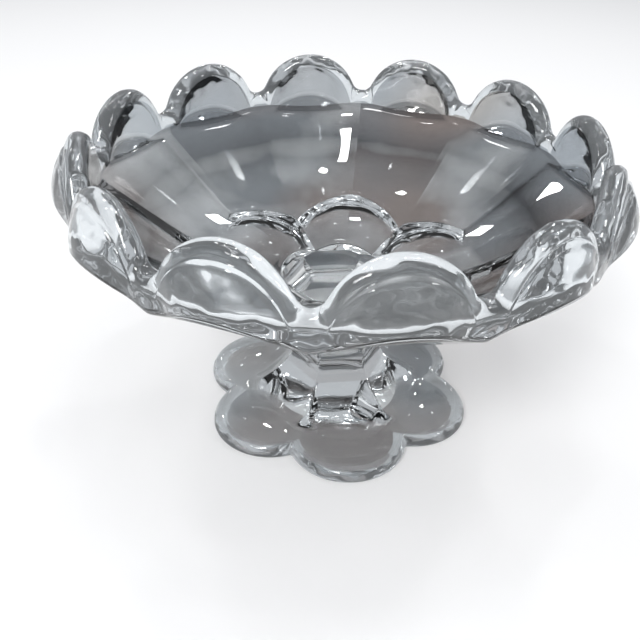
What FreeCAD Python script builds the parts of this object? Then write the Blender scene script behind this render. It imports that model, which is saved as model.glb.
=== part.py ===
import FreeCAD, Part
import math
import os

os.makedirs("parts", exist_ok=True)

# A heavy pressed-glass bowl on a short six-sided stem and a six-petal foot, for floating candles.
# Millimetres, +Z up, origin at the middle of the foot's flat underside.
# Azimuths are from +Y toward +X. Rim valleys stand at 0, 30, 60 ... and the petals halfway between.

# Counts, and the turn of the foot against the bowl
RIM_PETALS = 12
FLOOR_PRINTS = 6
FOOT_PETALS = 6
FOOT_TURN = 14.0

# Heights at which the three pieces meet
STEM_SEAT_HEIGHT = 21.0
STEM_LENGTH = 36.0
BOWL_SEAT_HEIGHT = STEM_SEAT_HEIGHT + STEM_LENGTH

# Inside: a small flat, a wide floor arc and a straight cone up to the petals
FLOOR_THICKNESS = 13.5
FLOOR_HEIGHT = BOWL_SEAT_HEIGHT + FLOOR_THICKNESS
FLOOR_FLAT_RADIUS = 10.0
FLOOR_ARC_RADIUS = 119.0
WALL_SLOPE = 35.0

# Outside: twelve hollow flutes that meet in crisp ridges, one under each valley
WALL_THICKNESS = 10.0
FLUTE_HOLLOW_ANGLE = 0.6

# Rim petals: round lobes with a bead for an edge, flat inside and domed outside
PETAL_RADIUS = 24.6
PETAL_RISE = 42.5
PETAL_HEIGHT = FLOOR_HEIGHT + PETAL_RISE
PETAL_RING_RADIUS = 107.0
PETAL_BEAD_RADIUS = 4.5
PETAL_DOME_DEPTH = 12.5

# Ring of glass between the petals, seen as the valleys of the rim
VALLEY_RISE = 5.9
VALLEY_HEIGHT = PETAL_HEIGHT + VALLEY_RISE
VALLEY_INSET = 2.7
VALLEY_INNER_RADIUS = PETAL_RING_RADIUS - VALLEY_INSET
VALLEY_WIDTH = 8.2

# Round prints pressed into the underside of the floor, round a plain boss
PRINT_RADIUS = 43.8
PRINT_RING_RADIUS = 56.0
PRINT_GLASS_THICKNESS = 5.4
BOSS_RADIUS = 28.0

# Stem: six concave facets, whose curve runs on into the scoops of the foot
STEM_WAIST_APOTHEM = 17.7
STEM_WAIST_RISE = 13.6
STEM_WAIST_HEIGHT = STEM_SEAT_HEIGHT + STEM_WAIST_RISE
STEM_CURVE_RADIUS = 30.9

# Foot: six round petals with a scoop in each
FOOT_PETAL_RADIUS = 27.5
FOOT_PETAL_RING_RADIUS = 38.5
FOOT_THICKNESS = 6.5
FOOT_BEVEL = 1.8
SCOOP_SIDE_RADIUS = 70.7
HUB_MARGIN = 0.5
HUB_FOOT_RADIUS = 50.0

# Length by which cutters and blanks run past what they meet
OVERRUN = 20.0

# Rounds are cut as short flats, at these angles or shares of each arc, to keep the mesh light
FLOOR_SHARES = (0, 0.33, 0.67, 1)
BEAD_ANGLES = (180, 135, 90)
DOME_SHARES = (0.4,)
VALLEY_ANGLES = (0, 60, 120, 180)
PRINT_ANGLES = (78, 58, 37)
SCOOP_ANGLES = (180, 210, 235, 258, 280, 305, 360)

Z_AXIS = FreeCAD.Vector(0, 0, 1)
Y_AXIS = FreeCAD.Vector(0, 1, 0)
ORIGIN = FreeCAD.Vector(0, 0, 0)


def point(radius, height):
    """A point of a meridian profile, drawn on the +Y side."""
    return FreeCAD.Vector(0, radius, height)


def line(start, end):
    return Part.LineSegment(start, end).toShape()


def closed_lines(points):
    return [line(start, end) for start, end in zip(points, points[1:] + points[:1])]


def points_on_arc(centre, radius, angles):
    """Points of a meridian arc at angles counted from outward, over up, to inward."""
    return [centre + point(radius * math.cos(math.radians(angle)),
                           radius * math.sin(math.radians(angle))) for angle in angles]


def spun(edges, base=ORIGIN, axis=Z_AXIS):
    """The solid that a closed profile makes when it turns once round an axis."""
    face = Part.Face(Part.Wire(Part.__sortEdges__(edges)))
    return face.revolve(base, axis, 360)


def ring_of(shape, count, first=0.0):
    """Copies of a shape evenly round the vertical axis, the first one at this azimuth."""
    copies = []
    for index in range(count):
        copy = shape.copy()
        copy.rotate(ORIGIN, Z_AXIS, -(first + index * 360.0 / count))
        copies.append(copy)
    return copies


def joined(shapes):
    return shapes[0].multiFuse(shapes[1:]).removeSplitter()


def cut_in_turn(shape, cutters):
    """Cut by one cutter after another, which stays quick where the cutters overlap."""
    for cutter in cutters:
        shape = shape.cut(cutter)
    return shape


def floor_points():
    """The inside's meridian, from the edge of the small flat to the foot of the wall's cone."""
    centre = point(FLOOR_FLAT_RADIUS, FLOOR_HEIGHT + FLOOR_ARC_RADIUS)
    return points_on_arc(centre, FLOOR_ARC_RADIUS, [share * WALL_SLOPE - 90 for share in FLOOR_SHARES])


def ridge_apex():
    """The point on the axis where the ridges would meet, one wall thickness below the inside."""
    wall_foot = floor_points()[-1]
    slope = math.radians(WALL_SLOPE)
    return point(0, wall_foot.z - wall_foot.y * math.tan(slope) - WALL_THICKNESS / math.cos(slope))


def make_cavity():
    """The space inside the bowl: floor, cone, then twelve flat faces as the petals' insides."""
    floor = floor_points()
    rise = (VALLEY_INNER_RADIUS - floor[-1].y) * math.tan(math.radians(WALL_SLOPE))
    rim = point(VALLEY_INNER_RADIUS, floor[-1].z + rise)
    top = PETAL_HEIGHT + PETAL_RADIUS + OVERRUN
    turned = spun(closed_lines([point(0, FLOOR_HEIGHT)] + floor
                               + [rim, point(rim.y, top), point(0, top)]))
    corner_radius = (PETAL_RING_RADIUS - PETAL_BEAD_RADIUS) / math.cos(math.pi / RIM_PETALS)
    turns = [2 * math.pi * index / RIM_PETALS for index in range(RIM_PETALS)]
    corners = [FreeCAD.Vector(corner_radius * math.sin(turn), corner_radius * math.cos(turn), 0)
               for turn in turns]
    prism = Part.Face(Part.makePolygon(corners + corners[:1])).extrude(Z_AXIS * top)
    return turned.common(prism)


def make_blank():
    """Wall, floor and valley ring as one turned solid, before anything is pressed into it."""
    round_radius = VALLEY_WIDTH / 2
    crest = point(VALLEY_INNER_RADIUS + round_radius, VALLEY_HEIGHT - round_radius)
    outline = [point(0, BOWL_SEAT_HEIGHT), point(VALLEY_INNER_RADIUS + VALLEY_WIDTH, BOWL_SEAT_HEIGHT)]
    outline += points_on_arc(crest, round_radius, VALLEY_ANGLES)
    outline.append(point(0, FLOOR_HEIGHT))
    return spun(closed_lines(outline))


def make_petal():
    """One rim petal, turned about its own radial axis: flat inside, bead edge, domed outside."""
    bead_ring = PETAL_RADIUS - PETAL_BEAD_RADIUS
    chord = PETAL_DOME_DEPTH ** 2 + bead_ring ** 2 - PETAL_BEAD_RADIUS ** 2
    dome = chord / (2 * (PETAL_DOME_DEPTH - PETAL_BEAD_RADIUS))
    lean = math.degrees(math.atan2(bead_ring, dome - PETAL_DOME_DEPTH))
    bead_centre = point(PETAL_RING_RADIUS, PETAL_HEIGHT + bead_ring)
    bead = points_on_arc(bead_centre, PETAL_BEAD_RADIUS, BEAD_ANGLES + (lean,))
    dome_centre = point(PETAL_RING_RADIUS + PETAL_DOME_DEPTH - dome, PETAL_HEIGHT)
    domed = points_on_arc(dome_centre, dome, [share * lean for share in DOME_SHARES])
    inside = point(PETAL_RING_RADIUS - PETAL_BEAD_RADIUS, PETAL_HEIGHT)
    crown = point(domed[-1].y, PETAL_HEIGHT)
    return spun(closed_lines([inside] + bead + domed + [crown]), inside, Y_AXIS)


def make_flute():
    """Cutter for one flute: a wide cone from the ridges' apex that touches two ridges."""
    ridge = math.radians(WALL_SLOPE)
    half_pitch = math.pi / RIM_PETALS
    flat = math.atan(math.tan(ridge) / math.cos(half_pitch))
    middle = flat + math.radians(FLUTE_HOLLOW_ANGLE)
    tilt = math.atan((math.cos(ridge) * math.cos(half_pitch) - math.cos(middle))
                     / (math.sin(middle) - math.sin(ridge)))
    half_angle = middle - tilt
    length = PETAL_RING_RADIUS + PETAL_DOME_DEPTH + OVERRUN
    return Part.makeCone(0, length * math.tan(half_angle), length,
                         ridge_apex(), point(math.cos(tilt), math.sin(tilt)))


def make_print():
    """Cutter for one round print: a blunt dome, rounded by short flats."""
    sunk = math.sqrt(FLOOR_ARC_RADIUS ** 2 - (PRINT_RING_RADIUS - FLOOR_FLAT_RADIUS) ** 2)
    top = FLOOR_HEIGHT + FLOOR_ARC_RADIUS - sunk - PRINT_GLASS_THICKNESS
    centre = point(0, top - PRINT_RADIUS)
    dome = points_on_arc(centre, PRINT_RADIUS, PRINT_ANGLES)
    shape = spun(closed_lines([point(0, dome[0].z)] + dome + [point(dome[-1].y, 0), ORIGIN]))
    shape.translate(point(PRINT_RING_RADIUS, 0))
    return shape


def make_bowl():
    half_pitch = 180.0 / RIM_PETALS
    body = joined([make_blank()] + ring_of(make_petal(), RIM_PETALS, half_pitch))
    body = cut_in_turn(body, ring_of(make_flute(), RIM_PETALS, half_pitch))
    body = cut_in_turn(body, ring_of(make_print(), FLOOR_PRINTS))
    boss = Part.makeCylinder(BOSS_RADIUS, FLOOR_THICKNESS, point(0, BOWL_SEAT_HEIGHT))
    return joined([body, boss]).cut(make_cavity())


def make_stem():
    """Six concave facets, from the foot's hub up to the seat under the bowl."""
    blank = Part.makeCylinder(BOSS_RADIUS, STEM_LENGTH, point(0, STEM_SEAT_HEIGHT))
    length = 2 * (BOSS_RADIUS + OVERRUN)
    start = FreeCAD.Vector(-length / 2, STEM_WAIST_APOTHEM + STEM_CURVE_RADIUS, STEM_WAIST_HEIGHT)
    facet = Part.makeCylinder(STEM_CURVE_RADIUS, length, start, FreeCAD.Vector(1, 0, 0))
    return blank.cut(ring_of(facet, FOOT_PETALS, -FOOT_TURN))


def make_scoop():
    """Cutter for one foot petal: the stem's curve, swung sideways about a high radial axis."""
    centre = point(STEM_WAIST_APOTHEM + STEM_CURVE_RADIUS, STEM_WAIST_HEIGHT)
    curve = points_on_arc(centre, STEM_CURVE_RADIUS, SCOOP_ANGLES)
    axis_height = STEM_WAIST_HEIGHT - STEM_CURVE_RADIUS + SCOOP_SIDE_RADIUS
    near_top = point(curve[0].y, axis_height)
    far_top = point(curve[-1].y, axis_height)
    return spun(closed_lines(curve + [far_top, near_top]), near_top, Y_AXIS)


def make_foot():
    lobe = Part.makeCylinder(FOOT_PETAL_RADIUS, FOOT_THICKNESS, point(FOOT_PETAL_RING_RADIUS, 0))
    web = Part.makeCylinder(FOOT_PETAL_RING_RADIUS, FOOT_THICKNESS)
    plate = joined(ring_of(lobe, FOOT_PETALS, -FOOT_TURN) + [web])
    top = [edge for edge in plate.Edges if edge.BoundBox.ZMin > FOOT_THICKNESS / 2]
    plate = plate.makeChamfer(FOOT_BEVEL, top)
    waist_drop = math.sqrt(STEM_CURVE_RADIUS ** 2 - STEM_WAIST_RISE ** 2)
    stem_apothem = STEM_WAIST_APOTHEM + STEM_CURVE_RADIUS - waist_drop
    hub_top_radius = stem_apothem / math.cos(math.pi / FOOT_PETALS) + HUB_MARGIN
    hub = Part.makeCone(HUB_FOOT_RADIUS, hub_top_radius, STEM_SEAT_HEIGHT)
    return cut_in_turn(joined([plate, hub]), ring_of(make_scoop(), FOOT_PETALS, -FOOT_TURN))


for name, shape in (("bowl", make_bowl()), ("stem", make_stem()), ("foot", make_foot())):
    if len(shape.Solids) != 1 or not shape.isValid():
        raise SystemExit(f"{name}: {len(shape.Solids)} solids, valid {shape.isValid()}")
    shape.Solids[0].exportStep(f"parts/{name}.step")
    print(f"{name}: volume {shape.Volume / 1000:.0f} cm3, {len(shape.Faces)} faces")
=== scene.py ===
import math

import bpy
import numpy as np
from mathutils import Matrix, Vector


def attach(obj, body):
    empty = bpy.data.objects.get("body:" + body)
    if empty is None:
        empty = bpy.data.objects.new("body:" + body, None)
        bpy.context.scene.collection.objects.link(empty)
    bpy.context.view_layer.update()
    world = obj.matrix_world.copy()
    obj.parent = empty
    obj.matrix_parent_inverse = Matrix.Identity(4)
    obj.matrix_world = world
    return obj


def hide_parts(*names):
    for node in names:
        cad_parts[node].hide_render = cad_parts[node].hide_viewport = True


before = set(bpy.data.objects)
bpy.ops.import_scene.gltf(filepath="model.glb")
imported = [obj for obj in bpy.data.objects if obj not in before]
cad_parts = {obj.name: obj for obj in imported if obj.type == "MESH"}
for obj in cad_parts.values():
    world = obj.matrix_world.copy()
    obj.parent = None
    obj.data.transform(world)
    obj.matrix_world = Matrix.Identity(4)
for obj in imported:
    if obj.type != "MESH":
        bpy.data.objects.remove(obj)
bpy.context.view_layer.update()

# A clear pressed-glass bowl on its stem and foot. The pressed surfaces are drawn here again from
# the CAD's own sizes, with the small rounds that molten glass keeps. Lengths are in metres.

MM = 0.001
TINY = 0.001 * MM

# Rim
PETALS = 12
PETAL_RADIUS = 24.6 * MM
PETAL_HEIGHT = 113.0 * MM
PETAL_FACE_RADIUS = 102.5 * MM
PETAL_REACH = 119.5 * MM
BEAD_RADIUS = 4.5 * MM
DOME_RADIUS = 30.5 * MM
DOME_EDGE = 3.0 * MM
DOME_START_SHARE = 0.08
VALLEY_HEIGHT = 118.9 * MM
VALLEY_ROUND = 5.0 * MM
VALLEY_INNER_RADIUS = 104.3 * MM
VALLEY_INNER_EDGE = 1.0 * MM
VALLEY_OUTER_RADIUS = 112.5 * MM
VALLEY_OUTER_EDGE = 2.0 * MM

# Inside
FLOOR_HEIGHT = 70.5 * MM
FLOOR_FLAT_RADIUS = 10.0 * MM
FLOOR_ARC_RADIUS = 119.0 * MM
WALL_SLOPE = math.radians(35.0)
FOLD_ROUND = 3.0 * MM

# Outside
WALL_THICKNESS = 10.0 * MM
RIDGE_APEX_HEIGHT = (FLOOR_HEIGHT - FLOOR_FLAT_RADIUS * math.tan(WALL_SLOPE) + FLOOR_ARC_RADIUS
                     - (FLOOR_ARC_RADIUS + WALL_THICKNESS) / math.cos(WALL_SLOPE))
FLUTE_HOLLOW = math.radians(0.6)
CREASE = 0.7 * MM
CORNER_ROUND = 2.2 * MM
CORNER_FIRST_GUESS = 105.0 * MM
CORNER_STEPS = 12
PRINTS = 6
PRINT_RADIUS = 43.8 * MM
PRINT_RING_RADIUS = 56.0 * MM
PRINT_GLASS_THICKNESS = 5.4 * MM
PRINT_EDGE = 2.6 * MM
BOSS_RADIUS = 28.0 * MM
BOSS_ROUND = 1.5 * MM
SEAT_HEIGHT = 57.0 * MM

# Stem and foot
FOOT_PETALS = 6
FOOT_TURN = math.radians(14.0)
STEM_SEAT_HEIGHT = 21.0 * MM
STEM_WAIST_APOTHEM = 17.7 * MM
STEM_WAIST_HEIGHT = 34.6 * MM
STEM_CURVE_RADIUS = 30.9 * MM
STEM_FACET_EDGE = 1.2 * MM
STEM_TOP_EDGE = 1.0 * MM
FOOT_PETAL_RADIUS = 27.5 * MM
FOOT_PETAL_RING_RADIUS = 38.5 * MM
FOOT_VALLEY_EDGE = 1.6 * MM
FOOT_THICKNESS = 6.5 * MM
FOOT_ROUND = 4.6 * MM
FOOT_UNDER_ROUND = 1.2 * MM
FOOT_DISH_RADIUS = 22.0 * MM
FOOT_MIDDLE_RADIUS = 28.0 * MM
SCOOP_SIDE_RADIUS = 70.7 * MM
SCOOP_REACH_SHARE = 0.999
SCOOP_CREST = 1.4 * MM
HUB_FOOT_RADIUS = 50.0 * MM
HUB_TOP_RADIUS = 24.6 * MM
HUB_EDGE = 2.0 * MM
HUB_SETTLING = 5.0 * MM
FOOT_VALLEY_AZIMUTH = math.pi / FOOT_PETALS - FOOT_TURN

# Points in each ring, and rings along each stretch of the surface
COLUMNS = 480
INSIDE_RINGS = 60
FOLD_RINGS = 8
FACE_RINGS = 16
BEAD_RINGS = 22
DOME_RINGS = 34
CORNER_RINGS = 8
UNDER_RINGS = 90
BOSS_RINGS = 6
SEAT_RINGS = 5
STEM_RINGS = 40
SCOOP_RINGS = 90
FOOT_ROUND_RINGS = 9
FOOT_UNDER_ROUND_RINGS = 6
DISH_RINGS = 12
FOOT_MIDDLE_RINGS = 5

# Colours of the glass, and of its painted shade where it is cool and where it is warm; the painted
# shade stands in for dark surroundings seen through clear glass
PALE = (0.90, 0.94, 0.955)
RIM_TINT = (0.77, 0.81, 0.835)
WALL_PAINTED_SHADE = ((0.035, 0.040, 0.046), (0.052, 0.037, 0.032))
FACE_PAINTED_SHADE = ((0.22, 0.25, 0.28), (0.26, 0.24, 0.22))
STEM_PAINTED_SHADE = ((0.60, 0.62, 0.63), (0.62, 0.60, 0.59))
DISH_PAINTED_SHADE = ((0.38, 0.415, 0.445), (0.37, 0.355, 0.355))
SHADOW_TINT = (0.30, 0.28, 0.27)

# The glass and its skin
REFRACTION = 1.5
RIPPLE_DETAIL = 1.0
MOST_ROUGHNESS = 0.03

# The painted shade, which changes between heights and from sector to sector
WHOLE_HEIGHT = (0.0, 1.0)
INSIDE_FADE = (84.0 * MM, 100.0 * MM)
OUTSIDE_FADE = (88.0 * MM, 104.0 * MM)
OUTSIDE_PAINTED_SHADE_ON_TOP = 0.15
PRINTS_END_HEIGHT = 71.0 * MM
BELOW_EVERYTHING = -20.0 * MM
# Steps of painted shade between the flutes, and its lean toward the darkest azimuth
SECTOR_CONTRAST = 0.36
SECTOR_CONTRAST_BAND = 5.0 * MM
SECTOR_SWING = 0.35
DARKEST_AZIMUTH = math.pi / 4
CLOUD_SCALE = 24.0
CLOUD_DETAIL = 3.0
CLOUD_CONTRAST = 0.5
CLOUD_LEVEL = 0.71
PATCH_SCALE = 11.0
PATCH_DETAIL = 1.0
PATCH_EDGES = (0.42, 0.58)

# Studio
GROUND_HALF = 3.0
GROUND_HEIGHT = -0.2 * MM
GROUND_TONE = (0.9, 0.9, 0.9)
GROUND_ROUGHNESS = 0.8
GROUND_SHINE = 0.1
SKY_TONE = (0.58, 0.59, 0.61)
SKY_STRENGTH = 0.9
LAMPS_AIM = Vector((0, 0, 0.1))
SOFT_LAMP_PLACE = (-0.5, -1.7, 1.6)
SOFT_LAMP_SIZE = 0.6
SOFT_LAMP_POWER = 27.0
GLINT_DISTANCE = 1.2
GLINT_CENTRE_HEIGHT = 0.08

# Small lamps that glint in the glass: turn and rise in degrees, size in metres, power in watts
GLINTS = (
    (17, 39, 0.07, 0.8),
    (59, 60, 0.12, 1.1),
    (-60, 54, 0.12, 1.1),
    (-25, 34, 0.07, 0.8),
    (0, 87, 0.045, 0.4),
    (25, 80, 0.05, 0.5),
    (-150, 40, 0.16, 1.0),
    (110, 32, 0.16, 1.0),
    (-35, 66, 0.04, 0.25),
    (40, 45, 0.04, 0.25),
    (-90, 72, 0.04, 0.25),
    (130, 70, 0.04, 0.25),
    (-8, 56, 0.035, 0.2),
    (75, 78, 0.035, 0.2),
    (-110, 50, 0.04, 0.25),
)

# The photograph's camera, fitted to the rim, its valleys and the foot
CAMERA_PLACE = Vector((23.7, -304.9, 247.9)) * MM
CAMERA_TURN = math.radians(-5.99)
CAMERA_DOWN = math.radians(33.98)
CAMERA_ROLL = math.radians(1.36)
CAMERA_CLIP_START = 0.01
FOCAL_LENGTH_PIXELS = 771.0
PHOTO_WIDTH_PIXELS = 640.0
SENSOR_WIDTH_MM = 36.0

# Azimuths run from +Y toward +X, as in the CAD
turns = np.arange(COLUMNS) * (2 * math.pi / COLUMNS)


def smooth_max(a, b, soft):
    """The larger of two lengths, rounded where they differ by less than soft."""
    spread = np.maximum(soft - np.abs(a - b), 0) / soft
    return np.maximum(a, b) + spread ** 2 * soft / 4


def smooth_min(a, b, soft):
    return -smooth_max(-a, -b, soft)


def off_middle(count, first):
    """Each column's angle from the middle of the nearest of count equal sectors."""
    pitch = 2 * math.pi / count
    return (turns - first + pitch / 2) % pitch - pitch / 2


def own_and_next(off, count):
    """Angles from the middle of a column's own sector, and from that of the nearest other one."""
    return off, np.abs(off) - 2 * math.pi / count


def bend(start, corner, end, steps):
    """Rows of a rounded corner.

    A row is a ring's radius and height, each one number or an array over the columns."""
    points = (start, corner, end)
    rows = []
    for share in np.linspace(0, 1, steps):
        weights = ((1 - share) ** 2, 2 * share * (1 - share), share ** 2)
        radius = sum(weight * point[0] for weight, point in zip(weights, points))
        height = sum(weight * point[1] for weight, point in zip(weights, points))
        rows.append((radius, height))
    return rows


def inner_height(radius):
    """Height of the smooth inside of the bowl."""
    centre = FLOOR_HEIGHT + FLOOR_ARC_RADIUS
    along = np.clip(radius - FLOOR_FLAT_RADIUS, 0, FLOOR_ARC_RADIUS * math.sin(WALL_SLOPE))
    arc = centre - np.sqrt(FLOOR_ARC_RADIUS ** 2 - along ** 2)
    rest = np.maximum(radius - FLOOR_FLAT_RADIUS - along, 0)
    return arc + rest * math.tan(WALL_SLOPE)


PRINT_TOP_HEIGHT = inner_height(PRINT_RING_RADIUS) - PRINT_GLASS_THICKNESS


def flute_slope(off):
    """Elevation of one flute's cone at an angle from its middle, seen from the apex.

    The cone runs through both ridges, and its middle is FLUTE_HOLLOW steeper than a flat's."""
    half = math.pi / PETALS
    flat = math.atan(math.tan(WALL_SLOPE) / math.cos(half))
    middle = flat + FLUTE_HOLLOW
    tilt = math.atan((math.cos(WALL_SLOPE) * math.cos(half) - math.cos(middle))
                     / (math.sin(middle) - math.sin(WALL_SLOPE)))
    along = np.cos(off) * math.cos(tilt)
    up = math.sin(tilt)
    from_axis = np.arccos(np.clip(math.cos(middle - tilt) / np.hypot(along, up), -1, 1))
    return np.arctan2(up, along) + from_axis


def flute_height(radius, off):
    """Height of the fluted underside, with its ridges a little rounded."""
    near, far = (RIDGE_APEX_HEIGHT + radius * np.tan(flute_slope(angle))
                 for angle in own_and_next(off, PETALS))
    return smooth_max(near, far, CREASE)


def print_height(radius):
    """Height of the round prints at each column, for one radius or a row of them."""
    heights = []
    for angle in own_and_next(off_middle(PRINTS, 0), PRINTS):
        away = radius ** 2 + PRINT_RING_RADIUS ** 2 - 2 * radius * PRINT_RING_RADIUS * np.cos(angle)
        depth = np.sqrt(np.maximum(PRINT_RADIUS ** 2 - away, 0))
        heights.append(PRINT_TOP_HEIGHT - PRINT_RADIUS + depth)
    return smooth_max(*heights, CREASE)


def under_height(radius, off):
    """Height of the whole underside, its flutes and its prints."""
    return smooth_max(flute_height(radius, off), print_height(radius), PRINT_EDGE)


def stem_radius(height):
    """Outline of the stem at a height, over the columns: six facets with softened edges."""
    rise = np.clip(height - STEM_WAIST_HEIGHT, -STEM_CURVE_RADIUS, STEM_CURVE_RADIUS)
    apothem = STEM_WAIST_APOTHEM + STEM_CURVE_RADIUS - np.sqrt(STEM_CURVE_RADIUS ** 2 - rise ** 2)
    near, far = (apothem / np.cos(angle)
                 for angle in own_and_next(off_middle(FOOT_PETALS, -FOOT_TURN), FOOT_PETALS))
    return smooth_min(smooth_min(near, far, STEM_FACET_EDGE), BOSS_RADIUS, STEM_TOP_EDGE)


def crest_height(off):
    """Height of the rim's wave and the steepness of its crest, over the columns."""
    across = (PETAL_FACE_RADIUS + BEAD_RADIUS) * np.sin(np.abs(off))
    fillet_height = VALLEY_HEIGHT + VALLEY_ROUND
    reach = PETAL_RADIUS + VALLEY_ROUND
    fillet_across = math.sqrt(reach ** 2 - (fillet_height - PETAL_HEIGHT) ** 2)
    touch = fillet_across * PETAL_RADIUS / reach
    arch = PETAL_HEIGHT + np.sqrt(np.maximum(PETAL_RADIUS ** 2 - across ** 2, 0))
    to_fillet = np.clip(fillet_across - across, 0, None)
    fillet = fillet_height - np.sqrt(np.maximum(VALLEY_ROUND ** 2 - to_fillet ** 2, 0))
    height = np.where(across < touch, arch, fillet)
    slope = np.where(across < touch, across / np.maximum(arch - PETAL_HEIGHT, TINY),
                     to_fillet / np.maximum(fillet_height - fillet, TINY))
    return height, slope


def dome_radius(off, height):
    """Radius of a petal's domed outside at a height, or zero where there is none."""
    centre = PETAL_REACH - DOME_RADIUS
    inside = (centre * np.cos(off)) ** 2 - centre ** 2 - (height - PETAL_HEIGHT) ** 2 + DOME_RADIUS ** 2
    found = centre * np.cos(off) + np.sqrt(np.maximum(inside, 0))
    return np.where(inside > 0, found, 0)


def outer_radius(off, edge, height):
    """Radius of the rim's outside at a height: the domes, and the valleys between them."""
    domed = smooth_max(edge, dome_radius(off, height), DOME_EDGE)
    return smooth_max(domed, VALLEY_OUTER_RADIUS, VALLEY_OUTER_EDGE)


def corner_height(off, edge):
    """Height where the rim's outside meets the flutes, found in steps that close in on it."""
    height = CORNER_FIRST_GUESS
    for _ in range(CORNER_STEPS):
        height = 0.5 * height + 0.5 * flute_height(outer_radius(off, edge, height), off)
    return height


def inside_rows(face, cap_height):
    """The inside from its middle out to the fold under the petals' inner faces."""
    fold_start = (face - FOLD_ROUND, inner_height(face - FOLD_ROUND))
    fold_end = (face, np.minimum(inner_height(face) + FOLD_ROUND, cap_height))
    rows = []
    for share in np.linspace(0, 1, INSIDE_RINGS)[:-1]:
        radius = share * fold_start[0]
        rows.append((radius, inner_height(radius)))
    return rows + bend(fold_start, (face, inner_height(face)), fold_end, FOLD_RINGS)


def rim_rows(off, face, edge, cap_height, cap, corner):
    """The bead over the petals and the rim's outside, down to its lower corner."""
    rows = []
    for angle in np.linspace(math.pi, 0, BEAD_RINGS):
        rows.append((face + BEAD_RADIUS * (1 + math.cos(angle)), cap_height + cap * math.sin(angle)))
    for share in np.linspace(0, 1, DOME_RINGS)[1:]:
        height = cap_height + share * (corner + CORNER_ROUND - cap_height)
        start = min(share / DOME_START_SHARE, 1)
        rows.append((edge + (outer_radius(off, edge, height) - edge) * start, height))
    return rows


def under_rows(off, edge, corner):
    """The lower corner, the flutes with the prints, the boss and the stem's seat."""
    corner_radius = outer_radius(off, edge, corner)
    start = corner_radius - CORNER_ROUND
    above = corner + CORNER_ROUND
    rows = bend((outer_radius(off, edge, above), above), (corner_radius, corner),
                (start, under_height(start, off)), CORNER_RINGS)[1:]
    boss = BOSS_RADIUS + BOSS_ROUND
    for share in np.linspace(0, 1, UNDER_RINGS)[1:]:
        radius = start + share * (boss - start)
        rows.append((radius, under_height(radius, off)))
    top = under_height(boss, off)
    low = top - BOSS_ROUND
    rows += bend((boss, top), (BOSS_RADIUS, top), (BOSS_RADIUS, low), BOSS_RINGS)[1:]
    seat = stem_radius(SEAT_HEIGHT)
    for share in np.linspace(0, 1, SEAT_RINGS)[1:]:
        rows.append((BOSS_RADIUS + share * (seat - BOSS_RADIUS), low + share * (SEAT_HEIGHT - low)))
    return rows


def bowl_rows():
    """The bowl's rows, with the bands of its inside, petals' faces, rim and underside."""
    off = off_middle(PETALS, math.pi / PETALS)
    face = smooth_min(PETAL_FACE_RADIUS / np.cos(off), VALLEY_INNER_RADIUS, VALLEY_INNER_EDGE)
    edge = face + 2 * BEAD_RADIUS
    height, slope = crest_height(off)
    cap = np.minimum(BEAD_RADIUS * np.sqrt(1 + slope ** 2), height - inner_height(face) - FOLD_ROUND)
    cap_height = height - cap
    corner = corner_height(off, edge)
    inside = inside_rows(face, cap_height)
    fold_height = inside[-1][1]
    faces = [(face, fold_height + share * (cap_height - fold_height))
             for share in np.linspace(0, 1, FACE_RINGS)[1:-1]]
    rim = rim_rows(off, face, edge, cap_height, cap, corner)
    face_from = len(inside) - 1
    rim_from = len(inside) + len(faces)
    under_from = rim_from + len(rim) - 1
    rows = inside + faces + rim + under_rows(off, edge, corner)
    return rows, ((0, 0), (face_from, 1), (rim_from, 2), (under_from, 3))


def stem_rows():
    """The stem's rows from the bowl's seat down to the foot's, all in one band."""
    heights = [SEAT_HEIGHT + share * (STEM_SEAT_HEIGHT - SEAT_HEIGHT)
               for share in np.linspace(0, 1, STEM_RINGS)]
    return [(stem_radius(height), height) for height in heights], ((0, 0),)


def foot_top(radius):
    """Height of the foot's upper side: six scoops in a plate and its hub."""
    curve_centre = STEM_WAIST_APOTHEM + STEM_CURVE_RADIUS
    axis = STEM_WAIST_HEIGHT - STEM_CURVE_RADIUS + SCOOP_SIDE_RADIUS
    hub = (HUB_FOOT_RADIUS - radius) / (HUB_FOOT_RADIUS - HUB_TOP_RADIUS) * STEM_SEAT_HEIGHT
    height = smooth_max(FOOT_THICKNESS, hub, HUB_EDGE)
    longest = STEM_CURVE_RADIUS * SCOOP_REACH_SHARE
    for angle in own_and_next(off_middle(FOOT_PETALS, -FOOT_TURN), FOOT_PETALS):
        reach = np.clip(radius * np.cos(angle) - curve_centre, -longest, longest)
        curve = STEM_WAIST_HEIGHT - np.sqrt(STEM_CURVE_RADIUS ** 2 - reach ** 2)
        swing = np.maximum((axis - curve) ** 2 - (radius * np.sin(angle)) ** 2, 0)
        height = smooth_min(height, axis - np.sqrt(swing), SCOOP_CREST)
    return height


def foot_lobe(angle, size):
    """Outline of one foot petal with a radius of size, at angles from its middle."""
    inside = size ** 2 - (FOOT_PETAL_RING_RADIUS * np.sin(angle)) ** 2
    return FOOT_PETAL_RING_RADIUS * np.cos(angle) + np.sqrt(np.maximum(inside, 0))


def scoop_rows(top_end):
    """The foot's upper side, from the stem's seat, where it settles, out to its rounded edge."""
    hub = stem_radius(STEM_SEAT_HEIGHT)
    settle = STEM_SEAT_HEIGHT - foot_top(hub)
    rows = []
    for share in np.linspace(0, 1, SCOOP_RINGS):
        radius = hub + (top_end - hub) * share
        rows.append((radius, foot_top(radius) + settle * np.exp(-(radius - hub) / HUB_SETTLING)))
    return rows


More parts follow.
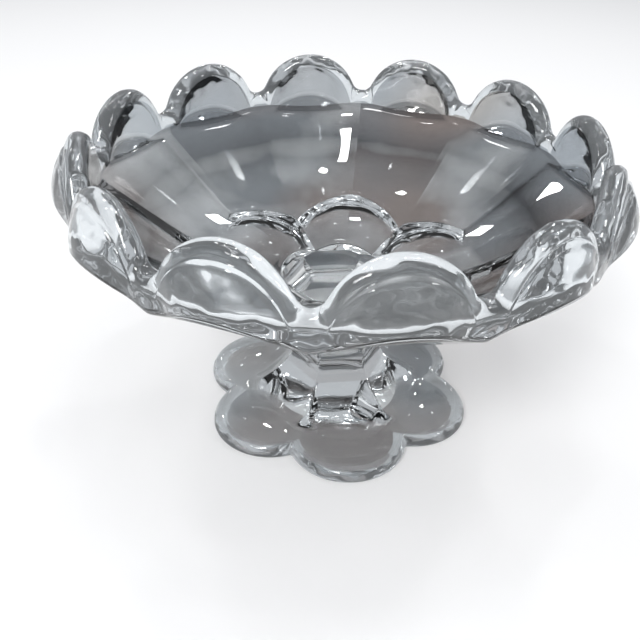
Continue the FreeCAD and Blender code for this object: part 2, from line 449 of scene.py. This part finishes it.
def foot_edge_rows(outline, top_end, edge_height):
    """The foot's rounded edge and the smaller round under it."""
    rows = []
    for angle in np.linspace(0, math.pi / 2, FOOT_ROUND_RINGS)[1:]:
        rows.append((top_end + FOOT_ROUND * math.sin(angle),
                     edge_height - FOOT_ROUND * (1 - math.cos(angle))))
    for angle in np.linspace(0, math.pi / 2, FOOT_UNDER_ROUND_RINGS):
        rows.append((outline - FOOT_UNDER_ROUND * (1 - math.cos(angle)),
                     FOOT_UNDER_ROUND * (1 - math.sin(angle))))
    return rows


def foot_rows():
    """The foot's rows, with the bands of its top, edge, the dishes' undersides and the middle."""
    off = off_middle(FOOT_PETALS, -FOOT_TURN)
    lobes = (foot_lobe(angle, FOOT_PETAL_RADIUS) for angle in own_and_next(off, FOOT_PETALS))
    outline = smooth_max(*lobes, FOOT_VALLEY_EDGE)
    top_end = outline - FOOT_ROUND
    top = scoop_rows(top_end)
    edge = foot_edge_rows(outline, top_end, top[-1][1])
    dish_end = foot_lobe(off, FOOT_DISH_RADIUS)
    dishes = [(dish_end + share * (FOOT_MIDDLE_RADIUS - dish_end), 0.0)
              for share in np.linspace(0, 1, DISH_RINGS)]
    middle = [(FOOT_MIDDLE_RADIUS * share, 0.0) for share in np.linspace(1, 0, FOOT_MIDDLE_RINGS)[1:]]
    edge_from = len(top) - 1
    dish_from = len(top) + len(edge)
    middle_from = dish_from + len(dishes) - 1
    return top + edge + dishes + middle, ((0, 0), (edge_from, 1), (dish_from, 2), (middle_from, 0))


def shell(name, rows, bands, node):
    """A shell of quads through rows of rings, with a fan where a row closes to a point.

    Each band is a first row and the material slot that its faces take."""
    points = []
    ring_starts = []
    for radius, height in rows:
        ring_starts.append(len(points))
        radius = np.broadcast_to(radius, (COLUMNS,))
        height = np.broadcast_to(height, (COLUMNS,))
        if radius.any():
            points += list(zip(radius * np.sin(turns), radius * np.cos(turns), height))
        else:
            points.append((0.0, 0.0, height[0]))
    ring_starts.append(len(points))
    faces = []
    slots = []
    for index in range(len(rows) - 1):
        slots += [[slot for first, slot in bands if first <= index][-1]] * COLUMNS
        this, following, end = ring_starts[index:index + 3]
        for column in range(COLUMNS):
            after = (column + 1) % COLUMNS
            if following - this == 1:
                faces.append((this, following + after, following + column))
            elif end - following == 1:
                faces.append((this + column, this + after, following))
            else:
                faces.append((this + column, this + after, following + after, following + column))
    mesh = bpy.data.meshes.new(name)
    mesh.from_pydata([tuple(float(part) for part in point) for point in points], [], faces)
    mesh.polygons.foreach_set("material_index", slots)
    mesh.polygons.foreach_set("use_smooth", [True] * len(mesh.polygons))
    piece = bpy.data.objects.new(name, mesh)
    bpy.context.collection.objects.link(piece)
    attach(piece, "root")
    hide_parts(node)
    return piece


def math_node(tree, operation, *values):
    """A Math node fed by sockets or plain numbers."""
    node = tree.nodes.new("ShaderNodeMath")
    node.operation = operation
    for socket, value in zip(node.inputs, values):
        if isinstance(value, (int, float)):
            socket.default_value = value
        else:
            tree.links.new(value, socket)
    return node.outputs["Value"]


def colour_mix(tree, factor, *colours):
    """A Mix node between two colours, each a socket or plain numbers."""
    node = tree.nodes.new("ShaderNodeMix")
    node.data_type = "RGBA"
    tree.links.new(factor, node.inputs["Factor"])
    sockets = [socket for socket in node.inputs if socket.type == "RGBA"]
    for socket, colour in zip(sockets, colours):
        if isinstance(colour, tuple):
            socket.default_value = (*colour, 1.0)
        else:
            tree.links.new(colour, socket)
    return next(socket for socket in node.outputs if socket.type == "RGBA")


def noise(tree, scale, detail):
    """Noise that stays in place on the piece, as a value from 0 to 1."""
    place = tree.nodes.new("ShaderNodeTexCoord")
    texture = tree.nodes.new("ShaderNodeTexNoise")
    texture.inputs["Scale"].default_value = scale
    texture.inputs["Detail"].default_value = detail
    tree.links.new(place.outputs["Object"], texture.inputs["Vector"])
    return texture.outputs["Fac"]


def ramp(tree, value, between=(0.0, 1.0), results=(0.0, 1.0)):
    """A value's way between two numbers turned into one between two results, held past the ends."""
    node = tree.nodes.new("ShaderNodeMapRange")
    for name, number in zip(("From Min", "From Max", "To Min", "To Max"), (*between, *results)):
        node.inputs[name].default_value = number
    tree.links.new(value, node.inputs["Value"])
    return node.outputs["Result"]


def glass(name, tint, waves=60.0, depth=0.08 * MM, clear_share=1.0):
    """Pressed glass, with a noise of the scale waves that makes waves of that depth in its skin."""
    material = bpy.data.materials.new(name)
    material.use_nodes = True
    tree = material.node_tree
    shader = tree.nodes["Principled BSDF"]
    shader.inputs["Base Color"].default_value = (*tint, 1.0)
    shader.inputs["Transmission Weight"].default_value = clear_share
    shader.inputs["IOR"].default_value = REFRACTION
    ripple = noise(tree, waves, RIPPLE_DETAIL)
    bump = tree.nodes.new("ShaderNodeBump")
    bump.inputs["Strength"].default_value = 1.0
    bump.inputs["Distance"].default_value = depth
    tree.links.new(ripple, bump.inputs["Height"])
    tree.links.new(bump.outputs["Normal"], shader.inputs["Normal"])
    skin = ramp(tree, ripple, results=(0.0, MOST_ROUGHNESS))
    tree.links.new(skin, shader.inputs["Roughness"])

    # The lamps' light passes straight through, dimmed at each surface, for a soft shadow
    clear = tree.nodes.new("ShaderNodeBsdfTransparent")
    clear.inputs["Color"].default_value = (*SHADOW_TINT, 1.0)
    light = tree.nodes.new("ShaderNodeLightPath")
    mix = tree.nodes.new("ShaderNodeMixShader")
    tree.links.new(light.outputs["Is Shadow Ray"], mix.inputs["Fac"])
    tree.links.new(shader.outputs["BSDF"], mix.inputs[1])
    tree.links.new(clear.outputs["BSDF"], mix.inputs[2])
    tree.links.new(mix.outputs["Shader"], tree.nodes["Material Output"].inputs["Surface"])
    return material


def sector_painted_shade(tree, axes, sectors, first):
    """Painted shade that steps by chance from sector to sector, standing in for the tonal steps that
    refraction makes between the flutes, and leans darker toward the darkest azimuth.

    The sectors are counted from the azimuth first."""
    per_radian = sectors / (2 * math.pi)
    azimuth = math_node(tree, "ARCTAN2", axes.outputs["X"], axes.outputs["Y"])
    turned = math_node(tree, "MULTIPLY_ADD", azimuth, per_radian, -first * per_radian)
    sector = math_node(tree, "FLOORED_MODULO", math_node(tree, "FLOOR", turned), sectors)
    chance = tree.nodes.new("ShaderNodeTexWhiteNoise")
    chance.noise_dimensions = "1D"
    tree.links.new(sector, chance.inputs["W"])
    away = math_node(tree, "MULTIPLY_ADD", sector, 1 / per_radian,
                     first + 0.5 / per_radian - DARKEST_AZIMUTH)
    lean = math_node(tree, "COSINE", away)
    even_chance = math_node(tree, "SUBTRACT", chance.outputs["Value"], 0.5)
    return math_node(tree, "MULTIPLY_ADD", lean, SECTOR_SWING, even_chance)


def glass_with_painted_shade(name, painted_shade, sectors, first=0.0, fade=WHOLE_HEIGHT, amounts=(1.0, 1.0),
                even_below=BELOW_EVERYTHING, **skin):
    """Pale glass with painted shade for the dark surroundings seen through it, cool in some places and
    warm in others.

    The painted shade goes from one amount to the other over the heights of the fade. Above the height
    even_below it also differs from sector to sector."""
    material = glass(name, PALE, **skin)
    tree = material.node_tree
    place = tree.nodes.new("ShaderNodeTexCoord")
    axes = tree.nodes.new("ShaderNodeSeparateXYZ")
    tree.links.new(place.outputs["Object"], axes.inputs["Vector"])
    contrast = ramp(tree, axes.outputs["Z"], (even_below, even_below + SECTOR_CONTRAST_BAND),
                    (0.0, SECTOR_CONTRAST))
    cloud = noise(tree, CLOUD_SCALE, CLOUD_DETAIL)
    drift = math_node(tree, "MULTIPLY_ADD", cloud, CLOUD_CONTRAST, CLOUD_LEVEL)
    tone = math_node(tree, "MULTIPLY_ADD", sector_painted_shade(tree, axes, sectors, first), contrast, drift)
    amount = math_node(tree, "MULTIPLY", tone, ramp(tree, axes.outputs["Z"], fade, amounts))
    patches = ramp(tree, noise(tree, PATCH_SCALE, PATCH_DETAIL), PATCH_EDGES)
    # The pale glass is mixed toward the painted shade by its amount
    tint = colour_mix(tree, amount, PALE, colour_mix(tree, patches, *painted_shade))
    tree.links.new(tint, tree.nodes["Principled BSDF"].inputs["Base Color"])
    return material


def add_bowl():
    bowl = shell("bowl_glass", *bowl_rows(), "bowl")
    # The inside, the petals' faces and the underside carry painted shade; the rim stays pale glass
    for material in (
            glass_with_painted_shade("bowl_inside_glass", WALL_PAINTED_SHADE, PETALS, fade=INSIDE_FADE,
                        amounts=(0.0, 1.0), waves=30.0, depth=0.3 * MM),
            glass_with_painted_shade("bowl_face_glass", FACE_PAINTED_SHADE, PETALS, waves=34.0, depth=7.0 * MM),
            glass("bowl_rim_glass", RIM_TINT, waves=90.0, depth=1.6 * MM, clear_share=0.88),
            glass_with_painted_shade("bowl_outside_glass", WALL_PAINTED_SHADE, PETALS, fade=OUTSIDE_FADE,
                        amounts=(1.0, OUTSIDE_PAINTED_SHADE_ON_TOP), even_below=PRINTS_END_HEIGHT)):
        bowl.data.materials.append(material)


def add_stem():
    stem = shell("stem_glass", *stem_rows(), "stem")
    # The stem carries a light painted shade
    stem.data.materials.append(glass_with_painted_shade("stem_pressed_glass", STEM_PAINTED_SHADE, FOOT_PETALS,
                                           FOOT_VALLEY_AZIMUTH))


def add_foot():
    foot = shell("foot_glass", *foot_rows(), "foot")
    # The dishes' undersides carry painted shade
    for material in (
            glass("foot_clear_glass", PALE, waves=45.0, depth=0.5 * MM),
            glass("foot_rim_glass", RIM_TINT, waves=90.0, depth=1.2 * MM, clear_share=0.90),
            glass_with_painted_shade("foot_dish_glass", DISH_PAINTED_SHADE, FOOT_PETALS, FOOT_VALLEY_AZIMUTH)):
        foot.data.materials.append(material)


def pale_floor():
    mesh = bpy.data.meshes.new("floor")
    corners = [(x * GROUND_HALF, y * GROUND_HALF, GROUND_HEIGHT)
               for x, y in ((-1, -1), (1, -1), (1, 1), (-1, 1))]
    mesh.from_pydata(corners, [], [(0, 1, 2, 3)])
    floor = bpy.data.objects.new("floor", mesh)
    bpy.context.collection.objects.link(floor)
    material = bpy.data.materials.new("pale_floor")
    material.use_nodes = True
    shader = material.node_tree.nodes["Principled BSDF"]
    shader.inputs["Base Color"].default_value = (*GROUND_TONE, 1.0)
    shader.inputs["Roughness"].default_value = GROUND_ROUGHNESS
    shader.inputs["Specular IOR Level"].default_value = GROUND_SHINE
    mesh.materials.append(material)


def lamp(name, place, size, power):
    """A square lamp that faces the bowl."""
    data = bpy.data.lights.new(name, "AREA")
    data.size = size
    data.energy = power
    light = bpy.data.objects.new(name, data)
    light.location = place
    light.rotation_euler = (LAMPS_AIM - Vector(place)).to_track_quat("-Z", "Y").to_euler()
    bpy.context.collection.objects.link(light)


def studio():
    """A soft sky, one large lamp in front and small ones that glint in the glass."""
    world = bpy.data.worlds.new("studio")
    world.use_nodes = True
    sky = world.node_tree.nodes["Background"]
    sky.inputs["Color"].default_value = (*SKY_TONE, 1.0)
    sky.inputs["Strength"].default_value = SKY_STRENGTH
    bpy.context.scene.world = world
    lamp("soft_front", SOFT_LAMP_PLACE, SOFT_LAMP_SIZE, SOFT_LAMP_POWER)
    for index, (turn, rise, size, power) in enumerate(GLINTS):
        turn = math.radians(turn)
        rise = math.radians(rise)
        place = (GLINT_DISTANCE * math.sin(turn) * math.cos(rise),
                 GLINT_DISTANCE * math.cos(turn) * math.cos(rise),
                 GLINT_CENTRE_HEIGHT + GLINT_DISTANCE * math.sin(rise))
        lamp(f"glint_{index}", place, size, power)


def camera():
    """The camera at its place, with its axes turned, tipped down and rolled."""
    forward = Vector((math.sin(CAMERA_TURN) * math.cos(CAMERA_DOWN),
                      math.cos(CAMERA_TURN) * math.cos(CAMERA_DOWN), -math.sin(CAMERA_DOWN)))
    right = forward.cross(Vector((0, 0, 1))).normalized()
    up = right.cross(forward)
    rolled_right = right * math.cos(CAMERA_ROLL) + up * math.sin(CAMERA_ROLL)
    rolled_up = up * math.cos(CAMERA_ROLL) - right * math.sin(CAMERA_ROLL)
    data = bpy.data.cameras.new("camera")
    data.sensor_width = SENSOR_WIDTH_MM
    data.lens = FOCAL_LENGTH_PIXELS / PHOTO_WIDTH_PIXELS * SENSOR_WIDTH_MM
    data.clip_start = CAMERA_CLIP_START
    view = bpy.data.objects.new("camera", data)
    axes = Matrix((rolled_right, rolled_up, -forward)).transposed().to_4x4()
    view.matrix_world = Matrix.Translation(CAMERA_PLACE) @ axes
    bpy.context.collection.objects.link(view)
    bpy.context.scene.camera = view


add_bowl()
add_stem()
add_foot()
pale_floor()
studio()
camera()
bpy.context.scene.view_settings.view_transform = "Standard"
